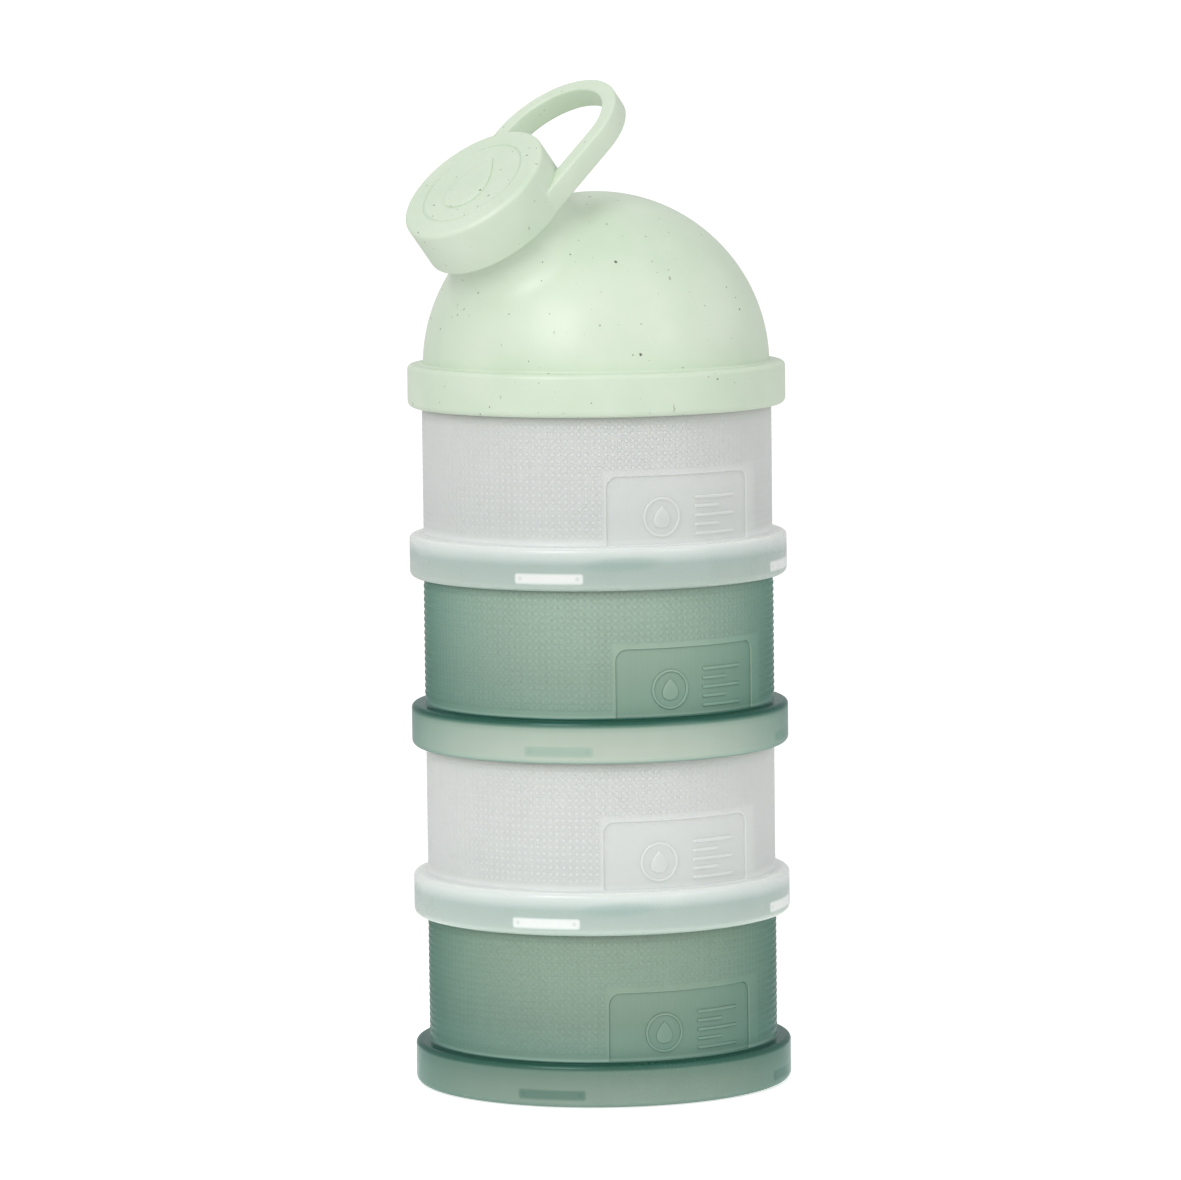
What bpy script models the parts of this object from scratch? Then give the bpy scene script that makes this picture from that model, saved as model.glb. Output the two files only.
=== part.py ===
# Formula dispenser: four containers that screw together, a domed lid with a slanted spout,
# and a screw cap with a carry loop. Metres, +Z up, the spout leans towards -Y.
import math

import bmesh
import bpy
from mathutils import Matrix

mm = 0.001

# The stack. Every container is one pitch above the one below.
modulePitch = 36 * mm
gap = 0.3 * mm
weldDistance = 0.005 * mm
ringRadius = 40 * mm
ringHeight = 9 * mm
skirtWall = 2 * mm
floorThickness = 1.8 * mm
ringTopRounding = 1 * mm
ringFootRounding = 1.4 * mm
skirtPlay = 1 * mm
bodyWall = 2.3 * mm
cavityRounding = 2 * mm
neckStep = 0.8 * mm
shoulderHeight = 0.6 * mm
shoulderSlope = 0.5 * mm
turnSegments = 40

# Ring seal, kept between the skirt and a low plug under the floor.
sealThickness = 1 * mm
sealPlay = 0.3 * mm
plugPlay = 0.3 * mm
plugWall = 1.2 * mm
plugReach = 2.2 * mm

# Quick thread between modules: lugs inside the skirt, short climbing ribs on the neck.
threadStarts = 4
threadLead = 21.6 * mm
lugAngle = 33
lugSpan = 21
lugHeight = 2.1 * mm
lugFromFoot = 1.6 * mm
lugPlay = 0.4 * mm
ribTail = 21
ribHeight = 1 * mm
ribPlay = 0.5 * mm
threadPlay = 0.35 * mm
rootDepth = 0.8 * mm

# Smooth label panel, sunk into the side half way between two lugs.
panelWidth = 35 * mm
panelHeight = 14.6 * mm
panelDepth = 0.3 * mm
panelCorner = 2.5 * mm

# How far each container is turned when tight, in degrees, top container first.
seatAngles = [0.9, 3.3, -1.2, 0.0]

# Lid: dome, and the spout whose axis passes through the dome's centre.
domeStep = 0.3 * mm
domeWall = 1.9 * mm
domeSink = 0.6 * mm
spoutTilt = 40.3
spoutWall = 1.5 * mm
collarStep = 0.9 * mm
flareRadius = 9 * mm
flareSink = 0.15 * mm
spoutSegments = 32

# Cap. Distances along the spout axis are measured from the dome's centre.
capStandOff = 4.4 * mm
capHeight = 10.8 * mm
capRadius = 16.5 * mm
capWall = 1.6 * mm
capRounding = 0.9 * mm
capFootRounding = 0.5 * mm
discRadius = 11.7 * mm
discGroove = 0.5 * mm
linerThickness = 1 * mm
linerPlay = 0.3 * mm

# Spout thread, two starts.
spoutPlay = 1.8 * mm
capStarts = 2
capLead = 6.4 * mm
capRibSpan = 200
capRibHeight = 1.1 * mm
spoutRibReach = 1.1 * mm
capRibReach = 1.3 * mm
capThreadPlay = 0.5 * mm
capRibFromFoot = 0.6 * mm

# Carry loop, moulded on the cap just above its foot.
loopLength = 22.6 * mm
loopHeight = 5 * mm
loopLift = 0.15 * mm
loopThickness = 3.4 * mm
loopInset = 0.3 * mm

# Worked out from the sizes above.
containerCount = len(seatAngles)
floorTop = ringHeight
floorUnder = ringHeight - floorThickness
skirtInner = ringRadius - skirtWall
bodyRadius = skirtInner - skirtPlay
cavityRadius = bodyRadius - bodyWall
neckRadius = bodyRadius - neckStep
neckTop = floorUnder - gap - sealThickness - gap
plugOuter = cavityRadius - plugPlay
plugInner = plugOuter - plugWall
lugInner = neckRadius + lugPlay
domeRadius = bodyRadius - domeStep
domeCentre = ringHeight - domeSink
capSeat = domeRadius + capStandOff
capTop = capSeat + capHeight
capCeiling = capTop - capWall
capInner = capRadius - capWall
spoutRim = capCeiling - gap - linerThickness - gap
spoutRadius = capInner - spoutPlay
collarRadius = spoutRadius + collarStep
spoutBore = spoutRadius - spoutWall
lidBase = containerCount * modulePitch
spoutLean = math.radians(spoutTilt)
capReach = capTop * math.sin(spoutLean) + capRadius * math.cos(spoutLean) - ringRadius
stackY = capReach / 2


def clearScene():
    for item in list(bpy.data.objects):
        bpy.data.objects.remove(item, do_unlink=True)


def arc(centreX, centreZ, radius, startAngle, endAngle, steps):
    # Points of an arc in the profile plane, ends included.
    points = []
    for step in range(steps + 1):
        angle = math.radians(startAngle + (endAngle - startAngle) * step / steps)
        points.append((centreX + radius * math.cos(angle), centreZ + radius * math.sin(angle)))
    return points


def bake(item):
    # Replace an object by a mesh object that holds its finished shape.
    depsgraph = bpy.context.evaluated_depsgraph_get()
    mesh = bpy.data.meshes.new_from_object(item.evaluated_get(depsgraph))
    finished = bpy.data.objects.new(item.name + "_shape", mesh)
    finished.matrix_world = item.matrix_world
    bpy.context.scene.collection.objects.link(finished)
    bpy.data.objects.remove(item, do_unlink=True)
    return finished


def turned(name, profile, segments):
    # A closed solid of revolution about Z, from a profile that starts and ends on the axis
    # or closes on itself.
    mesh = bpy.data.meshes.new(name)
    count = len(profile)
    onAxis = profile[0][0] == 0
    edges = [(i, i + 1) for i in range(count - 1)]
    if not onAxis:
        edges.append((count - 1, 0))
    mesh.from_pydata([(x, 0, z) for x, z in profile], edges, [])
    item = bpy.data.objects.new(name, mesh)
    bpy.context.scene.collection.objects.link(item)
    screw = item.modifiers.new("turn", "SCREW")
    screw.steps = segments
    screw.render_steps = segments
    screw.use_merge_vertices = True
    screw.merge_threshold = 0.00001
    return bake(item)


def bentBlock(mesh, innerRadius, outerRadius, bottom, height, startAngle, span, rise, corner):
    # Add a block that is bent round Z. Angles start at -Y and grow towards +X. The block
    # climbs by rise from its start to its end.
    block = bmesh.new()
    bmesh.ops.create_cube(block, size=1)
    middleRadius = (innerRadius + outerRadius) / 2
    length = math.radians(span) * middleRadius
    for vert in block.verts:
        vert.co.x *= length
        vert.co.y *= outerRadius - innerRadius
        vert.co.z *= height
    if corner:
        topCorners = [e for e in block.edges
                      if all(v.co.z > 0 for v in e.verts) and e.verts[0].co.x == e.verts[1].co.x]
        bmesh.ops.bevel(block, geom=topCorners, offset=corner, segments=3, profile=0.5,
                        affect="EDGES")
    steps = max(3, round(span / 8))
    for step in range(1, steps):
        place = length * (step / steps - 0.5)
        geometry = block.verts[:] + block.edges[:] + block.faces[:]
        bmesh.ops.bisect_plane(block, geom=geometry, dist=0.000001,
                               plane_co=(place, 0, 0), plane_no=(1, 0, 0))
    for vert in block.verts:
        along = vert.co.x / length + 0.5
        radius = middleRadius + vert.co.y
        angle = math.radians(startAngle + span * along)
        z = bottom + height / 2 + vert.co.z + rise * along
        vert.co = (radius * math.sin(angle), -radius * math.cos(angle), z)
    bmesh.ops.recalc_face_normals(block, faces=block.faces[:])
    piece = bpy.data.meshes.new("block")
    block.to_mesh(piece)
    block.free()
    whole = bmesh.new()
    whole.from_mesh(mesh)
    whole.from_mesh(piece)
    whole.to_mesh(mesh)
    whole.free()
    bpy.data.meshes.remove(piece)


def blockSet(name, starts, innerRadius, outerRadius, bottom, height, startAngle, span, rise):
    # Equal bent blocks spaced round Z, in one object.
    mesh = bpy.data.meshes.new(name)
    for start in range(starts):
        angle = startAngle + 360 / starts * start
        bentBlock(mesh, innerRadius, outerRadius, bottom, height, angle, span, rise, 0)
    item = bpy.data.objects.new(name, mesh)
    bpy.context.scene.collection.objects.link(item)
    return item


def combine(item, other, operation):
    # One exact Boolean, cleared of needle faces, after which only the result is left.
    boolean = item.modifiers.new("combine", "BOOLEAN")
    boolean.operation = operation
    boolean.solver = "EXACT"
    boolean.object = other
    finished = bake(item)
    bpy.data.objects.remove(other, do_unlink=True)
    clean = bmesh.new()
    clean.from_mesh(finished.data)
    bmesh.ops.remove_doubles(clean, verts=clean.verts[:], dist=weldDistance)
    bmesh.ops.dissolve_degenerate(clean, edges=clean.edges[:], dist=weldDistance)
    clean.to_mesh(finished.data)
    clean.free()
    return finished


def skirtLugs(name):
    return blockSet(name, threadStarts, lugInner, skirtInner + rootDepth, lugFromFoot, lugHeight,
                    lugAngle - lugSpan / 2, lugSpan, 0)


def ringProfile():
    # Outside of the ring from the edge of its ledge down to the inner edge of its foot.
    ledge = arc(ringRadius - ringTopRounding, floorTop - ringTopRounding, ringTopRounding, 90, 0, 2)
    foot = arc(ringRadius - ringFootRounding, ringFootRounding, ringFootRounding, 0, -90, 3)
    return ledge + foot + [(skirtInner, 0), (skirtInner, floorUnder), (plugOuter, floorUnder),
                           (plugOuter, floorUnder - plugReach), (plugInner, floorUnder - plugReach)]


def containerShape():
    # Cup with a thick floor, a skirt round its foot and a ribbed neck.
    top = modulePitch + neckTop
    shoulder = modulePitch + shoulderHeight
    profile = [(0, floorTop)]
    profile += arc(cavityRadius - cavityRounding, floorTop + cavityRounding, cavityRounding,
                   -90, 0, 2)
    profile += [(cavityRadius, top), (neckRadius, top), (neckRadius, shoulder),
                (bodyRadius, shoulder - shoulderSlope), (bodyRadius, floorTop)]
    profile += ringProfile()
    profile += [(plugInner, floorUnder), (0, floorUnder)]
    item = turned("container", profile, turnSegments)
    item = combine(item, skirtLugs("container_lugs"), "UNION")
    # Each rib climbs over the near end of a seated lug and runs out at the neck's rim.
    climb = threadLead / 360
    overLug = lugFromFoot + lugHeight + threadPlay
    ribSpan = ribTail + (neckTop - ribHeight - overLug) / climb
    ribStart = lugAngle - lugSpan / 2 - ribTail
    ribFoot = modulePitch + overLug - climb * ribTail
    ribs = blockSet("container_ribs", threadStarts, neckRadius - rootDepth, skirtInner - ribPlay,
                    ribFoot, ribHeight, ribStart, ribSpan, climb * ribSpan)
    item = combine(item, ribs, "UNION")
    panelMesh = bpy.data.meshes.new("panel_cutter")
    panelSpan = math.degrees(panelWidth / bodyRadius)
    panelAngle = lugAngle + 360 / threadStarts / 2
    bentBlock(panelMesh, bodyRadius - panelDepth, bodyRadius + panelDepth, floorTop + gap,
              panelHeight - gap, panelAngle - panelSpan / 2, panelSpan, 0, panelCorner)
    cutter = bpy.data.objects.new("panel_cutter", panelMesh)
    bpy.context.scene.collection.objects.link(cutter)
    return combine(item, cutter, "DIFFERENCE")


def ringSealShape():
    # Flat ring that closes on the neck's rim.
    bottom = neckTop + gap
    inner = plugOuter + sealPlay
    outer = skirtInner - sealPlay
    profile = [(inner, bottom + sealThickness), (outer, bottom + sealThickness),
               (outer, bottom), (inner, bottom)]
    return turned("ring_seal", profile, turnSegments)


def lidShape():
    # Dome on the same screw skirt, with the flared spout and its bore.
    startAngle = math.degrees(math.asin(domeSink / domeRadius))
    outer = arc(0, domeCentre, domeRadius, 90, startAngle, 9)
    outer[0] = (0, domeCentre + domeRadius)
    innerRadius = domeRadius - domeWall
    endAngle = math.degrees(math.acos(plugInner / innerRadius))
    inner = arc(0, domeCentre, innerRadius, endAngle, 90, 7)
    inner[-1] = (0, domeCentre + innerRadius)
    item = turned("lid", outer + ringProfile() + inner, turnSegments)
    item = combine(item, skirtLugs("lid_lugs"), "UNION")

    spoutPlace = Matrix.Translation((0, 0, domeCentre)) @ Matrix.Rotation(spoutLean, 4, "X")
    flareX = collarRadius + flareRadius
    flareDistance = domeRadius + flareRadius - flareSink
    flareZ = math.sqrt(flareDistance ** 2 - flareX ** 2)
    flareEnd = math.degrees(math.atan2(-flareZ, -flareX)) + 360
    flare = arc(flareX, flareZ, flareRadius, 180, flareEnd, 5)
    rootRadius = domeRadius - domeWall / 2
    rootAngle = math.degrees(math.acos(flare[-1][0] / rootRadius))
    root = arc(0, 0, rootRadius, rootAngle, 90, 4)
    root[-1] = (0, rootRadius)
    collarTop = capSeat - gap
    profile = [(0, spoutRim), (spoutRadius, spoutRim), (spoutRadius, collarTop),
               (collarRadius, collarTop)]
    spout = turned("spout", profile + flare + root, spoutSegments)
    spout = combine(spout, spoutRibs(), "UNION")
    spout.matrix_world = spoutPlace
    item = combine(item, spout, "UNION")

    boreStart = domeRadius - domeWall - collarRadius
    boreProfile = [(0, capTop), (spoutBore, capTop), (spoutBore, boreStart), (0, boreStart)]
    bore = turned("bore_cutter", boreProfile, spoutSegments)
    bore.matrix_world = spoutPlace
    return combine(item, bore, "DIFFERENCE")


def spoutRibs():
    climb = capLead / 360
    bottom = capSeat + capRibFromFoot + capRibHeight + capThreadPlay
    return blockSet("spout_ribs", capStarts, spoutRadius - rootDepth, spoutRadius + spoutRibReach,
                    bottom, capRibHeight, 0, capRibSpan, climb * capRibSpan)


def capShape():
    # Cup with a carry loop, hollowed after the loop is on, then given its thread.
    profile = [(0, capTop), (discRadius - discGroove / 2, capTop),
               (discRadius, capTop - discGroove), (discRadius + discGroove / 2, capTop)]
    profile += arc(capRadius - capRounding, capTop - capRounding, capRounding, 90, 0, 3)
    profile += arc(capRadius - capFootRounding, capSeat + capFootRounding, capFootRounding,
                   0, -90, 1)
    profile += [(0, capSeat)]
    item = turned("cap", profile, spoutSegments)
    item = combine(item, carryLoop(), "UNION")
    hollowProfile = [(0, capCeiling), (capInner, capCeiling), (capInner, capSeat - capWall),
                     (0, capSeat - capWall)]
    item = combine(item, turned("cap_cutter", hollowProfile, spoutSegments), "DIFFERENCE")
    climb = capLead / 360
    ribs = blockSet("cap_ribs", capStarts, capInner - capRibReach, capInner + rootDepth,
                    capSeat + capRibFromFoot, capRibHeight, 0, capRibSpan, climb * capRibSpan)
    return combine(item, ribs, "UNION")


def carryLoop():
    # Flat strap bent to a long U, its ends buried in the cap's side.
    curve = bpy.data.curves.new("carry_loop", "CURVE")
    curve.dimensions = "2D"
    curve.fill_mode = "BOTH"
    curve.extrude = loopHeight / 2
    outerRadius = capRadius - loopInset
    for radius, start in ((outerRadius, 0), (outerRadius - loopThickness, capInner / 2)):
        points = [(radius, start)] + arc(0, loopLength, radius, 0, 180, 14) + [(-radius, start)]
        spline = curve.splines.new("POLY")
        spline.points.add(len(points) - 1)
        for point, (x, y) in zip(spline.points, points):
            point.co = (x, y, 0, 1)
        spline.use_cyclic_u = True
    item = bpy.data.objects.new("carry_loop", curve)
    item.location = (0, 0, capSeat + loopLift + loopHeight / 2)
    bpy.context.scene.collection.objects.link(item)
    bpy.context.view_layer.update()
    return bake(item)


def linerShape():
    # Disc that the spout's rim closes on.
    bottom = spoutRim + gap
    radius = capInner - capRibReach - linerPlay
    profile = [(0, bottom + linerThickness), (radius, bottom + linerThickness), (radius, bottom),
               (0, bottom)]
    return turned("cap_liner", profile, spoutSegments)


def material(name, colour, roughness):
    made = bpy.data.materials.new(name)
    made.use_nodes = True
    shader = made.node_tree.nodes["Principled BSDF"]
    shader.inputs["Base Color"].default_value = (*colour, 1)
    shader.inputs["Roughness"].default_value = roughness
    shader.inputs["Metallic"].default_value = 0
    made.diffuse_color = (*colour, 1)
    return made


def place(name, shape, parent, matrix, surface):
    # One named node, with its origin on its joint's axis.
    item = bpy.data.objects.new(name, shape.data.copy())
    item.data.name = name
    item.data.materials.clear()
    item.data.materials.append(surface)
    item.parent = parent
    item.matrix_local = matrix
    bpy.context.scene.collection.objects.link(item)
    return item


def build():
    clearScene()
    frostedWhite = material("frosted_white", (0.69, 0.71, 0.67), 0.45)
    frostedGreen = material("frosted_green", (0.27, 0.42, 0.31), 0.45)
    speckledGreen = material("speckled_green", (0.62, 0.73, 0.59), 0.4)
    silicone = material("clear_silicone", (0.75, 0.78, 0.76), 0.6)

    stack = bpy.data.objects.new("stack_axis", None)
    stack.location = (0, stackY, 0)
    bpy.context.scene.collection.objects.link(stack)
    spoutAxis = bpy.data.objects.new("spout_axis", None)
    spoutAxis.parent = stack
    spoutAxis.location = (0, 0, lidBase + domeCentre)
    spoutAxis.rotation_euler = (spoutLean, 0, 0)
    bpy.context.scene.collection.objects.link(spoutAxis)

    container = containerShape()
    ringSeal = ringSealShape()
    for index, angle in enumerate(seatAngles):
        name = f"container_{index + 1}"
        height = (containerCount - 1 - index) * modulePitch
        seat = Matrix.Translation((0, 0, height)) @ Matrix.Rotation(math.radians(angle), 4, "Z")
        place(name, container, stack, seat, frostedGreen if index % 2 else frostedWhite)
        place(name + "_seal", ringSeal, stack, Matrix.Translation((0, 0, height)), silicone)
    lidPlace = Matrix.Translation((0, 0, lidBase))
    lid = lidShape()
    place("lid", lid, stack, lidPlace, speckledGreen)
    place("lid_seal", ringSeal, stack, lidPlace, silicone)
    cap = capShape()
    place("cap", cap, spoutAxis, Matrix(), speckledGreen)
    liner = linerShape()
    place("cap_seal", liner, spoutAxis, Matrix(), silicone)
    for shape in (container, ringSeal, lid, cap, liner):
        bpy.data.objects.remove(shape, do_unlink=True)


build()
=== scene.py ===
# Looks of the formula dispenser: four frosted containers with a squared grip, a speckled domed
# lid and its screw cap with a carry loop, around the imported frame. Sizes are in metres.
import math

import bmesh
import bpy
from mathutils import Matrix, Vector


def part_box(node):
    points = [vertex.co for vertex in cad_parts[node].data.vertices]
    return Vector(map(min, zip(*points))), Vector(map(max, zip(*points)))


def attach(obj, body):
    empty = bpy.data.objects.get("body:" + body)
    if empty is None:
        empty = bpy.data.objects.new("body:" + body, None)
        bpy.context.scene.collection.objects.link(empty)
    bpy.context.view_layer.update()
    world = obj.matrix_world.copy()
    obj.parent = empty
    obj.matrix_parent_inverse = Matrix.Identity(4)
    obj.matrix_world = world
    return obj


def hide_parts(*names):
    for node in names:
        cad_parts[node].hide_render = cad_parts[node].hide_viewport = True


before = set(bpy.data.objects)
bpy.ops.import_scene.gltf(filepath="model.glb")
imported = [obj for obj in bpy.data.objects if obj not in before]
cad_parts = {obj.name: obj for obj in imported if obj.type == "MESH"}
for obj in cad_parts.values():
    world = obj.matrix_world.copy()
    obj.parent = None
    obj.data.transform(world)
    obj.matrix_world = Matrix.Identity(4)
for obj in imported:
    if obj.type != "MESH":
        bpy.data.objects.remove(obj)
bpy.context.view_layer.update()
mm = 0.001

# The stack stands on the lowest container's axis; the spout and cap have their own slanted axis.
footLow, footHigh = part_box("container_4")
stackAxis = Vector((0, (footLow.y + footHigh.y) / 2, 0))
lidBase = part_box("lid")[0].z
domeCentre = stackAxis + Vector((0, 0, lidBase + 8.4 * mm))
spoutTilt = 40.3
spoutPlace = Matrix.Translation(domeCentre) @ Matrix.Rotation(math.radians(spoutTilt), 4, "X")


def arc(centreX, centreZ, radius, startAngle, endAngle, steps):
    # Points of an arc in a profile, ends included, angles in degrees.
    points = []
    for step in range(steps + 1):
        angle = math.radians(startAngle + (endAngle - startAngle) * step / steps)
        points.append((centreX + radius * math.cos(angle), centreZ + radius * math.sin(angle)))
    return points


def around(radius, angle, height):
    # A point on a circle round the axis: 0 degrees is the front, growing to the right.
    turn = math.radians(angle)
    return Vector((radius * math.sin(turn), -radius * math.cos(turn), height))


def turned(shape, profile, segments):
    # Solid of revolution about Z, from a profile that ends on the axis or closes on itself.
    rings = []
    for radius, height in profile:
        if radius == 0:
            rings.append([shape.verts.new((0, 0, height))] * segments)
        else:
            rings.append([shape.verts.new(around(radius, 360 * step / segments, height))
                          for step in range(segments)])
    pairs = list(zip(rings, rings[1:]))
    if profile[0][0] > 0:
        pairs.append((rings[-1], rings[0]))
    for near, far in pairs:
        for step in range(segments):
            corners = (near[step], near[step - 1], far[step - 1], far[step])
            shape.faces.new(tuple(dict.fromkeys(corners)))


def loft(shape, loops, closed):
    # Skin over loops of the same number of points, with flat ends unless it closes on itself.
    rings = [[shape.verts.new(point) for point in loop] for loop in loops]
    pairs = list(zip(rings, rings[1:]))
    if closed:
        pairs.append((rings[-1], rings[0]))
    for near, far in pairs:
        for step in range(len(near)):
            shape.faces.new((near[step - 1], near[step], far[step], far[step - 1]))
    if not closed:
        shape.faces.new(rings[0])
        shape.faces.new(rings[-1])


def roundedSection(width, height, rounding, steps):
    # Outline of a rectangle with round corners, centred on zero.
    points = []
    for cornerX, cornerY, start in ((1, 1, 0), (-1, 1, 90), (-1, -1, 180), (1, -1, 270)):
        points += arc(cornerX * (width / 2 - rounding), cornerY * (height / 2 - rounding),
                      rounding, start, start + 90, steps)
    return points


def bentBar(shape, innerRadius, outerRadius, bottom, height, startAngle, span, rise):
    # A soft-edged bar bent round the axis, tapered at both ends. It climbs by rise.
    depth = outerRadius - innerRadius
    taper = min(0.25, math.degrees(height / outerRadius) / span)
    shares = [0, taper * 0.35, taper * 0.7, taper]
    middle = max(4, round(span / 3))
    shares += [taper + (1 - 2 * taper) * step / middle for step in range(1, middle)]
    shares += [1 - share for share in shares[3::-1]]
    loops = []
    for share in shares:
        end = min(share, 1 - share) / taper
        size = 1 if end >= 1 else 0.45 + 0.55 * math.sin(math.pi / 2 * end)
        section = roundedSection(depth, height * size, min(depth, height * size) * 0.24, 2)
        loops.append([around(innerRadius + depth / 2 + x, startAngle + span * share,
                             bottom + height / 2 + z + rise * share) for x, z in section])
    loft(shape, loops, False)


def reliefStroke(shape, path, width, height, closed, toSurface):
    # A raised line that follows a flat path. toSurface puts (across, up, out) on the piece.
    loops = []
    count = len(path)
    for step, here in enumerate(path):
        before = path[step - 1] if closed or step else here
        after = path[(step + 1) % count] if closed or step < count - 1 else here
        along = (Vector(after) - Vector(before)).normalized()
        side = Vector((-along.y, along.x))
        edge = 1
        if not closed and step in (0, count - 1):
            edge = 0.5
        loops.append([toSurface(*(Vector(here) + side * width * across * edge), out)
                      for across, out in ((-0.5, -0.3 * mm), (-0.5, height * 0.5),
                                          (-0.3, height), (0.3, height),
                                          (0.5, height * 0.5), (0.5, -0.3 * mm))])
    loft(shape, loops, closed)


def circlePath(centreX, centreY, radius, steps):
    return arc(centreX, centreY, radius, 0, 360 - 360 / steps, steps - 1)


def dropPath(centreX, centreY, width, height, steps):
    # Outline of a milk drop with its point upwards.
    points = []
    for step in range(steps):
        angle = 2 * math.pi * step / steps
        points.append((centreX + width * 0.65 * math.sin(angle) * math.sin(angle / 2),
                       centreY + height / 2 * math.cos(angle)))
    return points


def reliefPad(shape, outline, centre, height, toSurface):
    # A raised flat shape with a soft edge.
    loops = []
    for size, out in ((1, -0.3 * mm), (1, height * 0.5), (0.93, height * 0.9), (0.84, height)):
        loops.append([toSurface(centre[0] + (x - centre[0]) * size,
                                centre[1] + (y - centre[1]) * size, out) for x, y in outline])
    loft(shape, loops, False)


def newObject(name, shape):
    mesh = bpy.data.meshes.new(name)
    shape.to_mesh(mesh)
    shape.free()
    item = bpy.data.objects.new(name, mesh)
    bpy.context.scene.collection.objects.link(item)
    return item


def finishedMesh(item):
    # The mesh that an object's modifiers leave.
    depsgraph = bpy.context.evaluated_depsgraph_get()
    return bpy.data.meshes.new_from_object(item.evaluated_get(depsgraph))


def combined(shape, other, operation):
    # One exact Boolean of two meshes under construction.
    item = newObject("combined", shape)
    tool = newObject("tool", other)
    boolean = item.modifiers.new("combine", "BOOLEAN")
    boolean.operation = operation
    boolean.solver = "EXACT"
    boolean.object = tool
    result = bmesh.new()
    result.from_mesh(finishedMesh(item))
    bpy.data.objects.remove(item)
    bpy.data.objects.remove(tool)
    bmesh.ops.remove_doubles(result, verts=result.verts[:], dist=0.003 * mm)
    bmesh.ops.dissolve_degenerate(result, edges=result.edges[:], dist=0.003 * mm)
    return result


def outward(shape):
    bmesh.ops.recalc_face_normals(shape, faces=shape.faces[:])
    return shape


def mouldedPiece(name, shape, place, material, body):
    # Faces outwards, soft shading except at real edges, then onto its body.
    bmesh.ops.recalc_face_normals(shape, faces=shape.faces[:])
    shape.transform(place)
    item = newObject(name, shape)
    item.data.polygons.foreach_set("use_smooth", [True] * len(item.data.polygons))
    item.data.set_sharp_from_angle(angle=math.radians(32))
    item.data.materials.append(material)
    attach(item, body)
    return item


def wrapMap(mesh, turnedBy, base):
    # Map that follows the wall: turns round the axis across, height above the base upwards.
    layer = mesh.uv_layers.new(name="wrap")
    points = [vert.co - stackAxis for vert in mesh.vertices]
    turns = [(math.degrees(math.atan2(point.x, -point.y)) - turnedBy) / 360 % 1 for point in points]
    for polygon in mesh.polygons:
        places = [turns[index] for index in polygon.vertices]
        crossing = max(places) - min(places) > 0.5
        for loopIndex, index in zip(polygon.loop_indices, polygon.vertices):
            turn = turns[index]
            if crossing and turn < 0.5:
                turn += 1
            layer.data[loopIndex].uv = (turn, (points[index].z - base) / wrapHeight)


def tone(red, green, blue):
    # A screen colour, 0 to 255, as the linear colour that a shader wants.
    parts = []
    for part in (red, green, blue):
        value = part / 255
        parts.append(value / 12.92 if value <= 0.04045 else ((value + 0.055) / 1.055) ** 2.4)
    return (*parts, 1)


class Wire:
    # One output of a node, so that values can be written as sums.
    def __init__(self, finish, socket):
        self.finish = finish
        self.socket = socket

    def maths(self, operation, first, second=0.0):
        return self.finish.node("ShaderNodeMath", {"operation": operation}, {0: first, 1: second})

    def __add__(self, other):
        return self.maths("ADD", self, other)

    def __radd__(self, other):
        return self.maths("ADD", other, self)

    def __sub__(self, other):
        return self.maths("SUBTRACT", self, other)

    def __rsub__(self, other):
        return self.maths("SUBTRACT", other, self)

    def __mul__(self, other):
        return self.maths("MULTIPLY", self, other)

    def __rmul__(self, other):
        return self.maths("MULTIPLY", other, self)

    def __truediv__(self, other):
        return self.maths("DIVIDE", self, other)

    def __pow__(self, other):
        return self.maths("POWER", self, other)

    def __abs__(self):
        return self.maths("ABSOLUTE", self)

    def atLeastZero(self):
        return self.maths("MAXIMUM", self)


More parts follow.
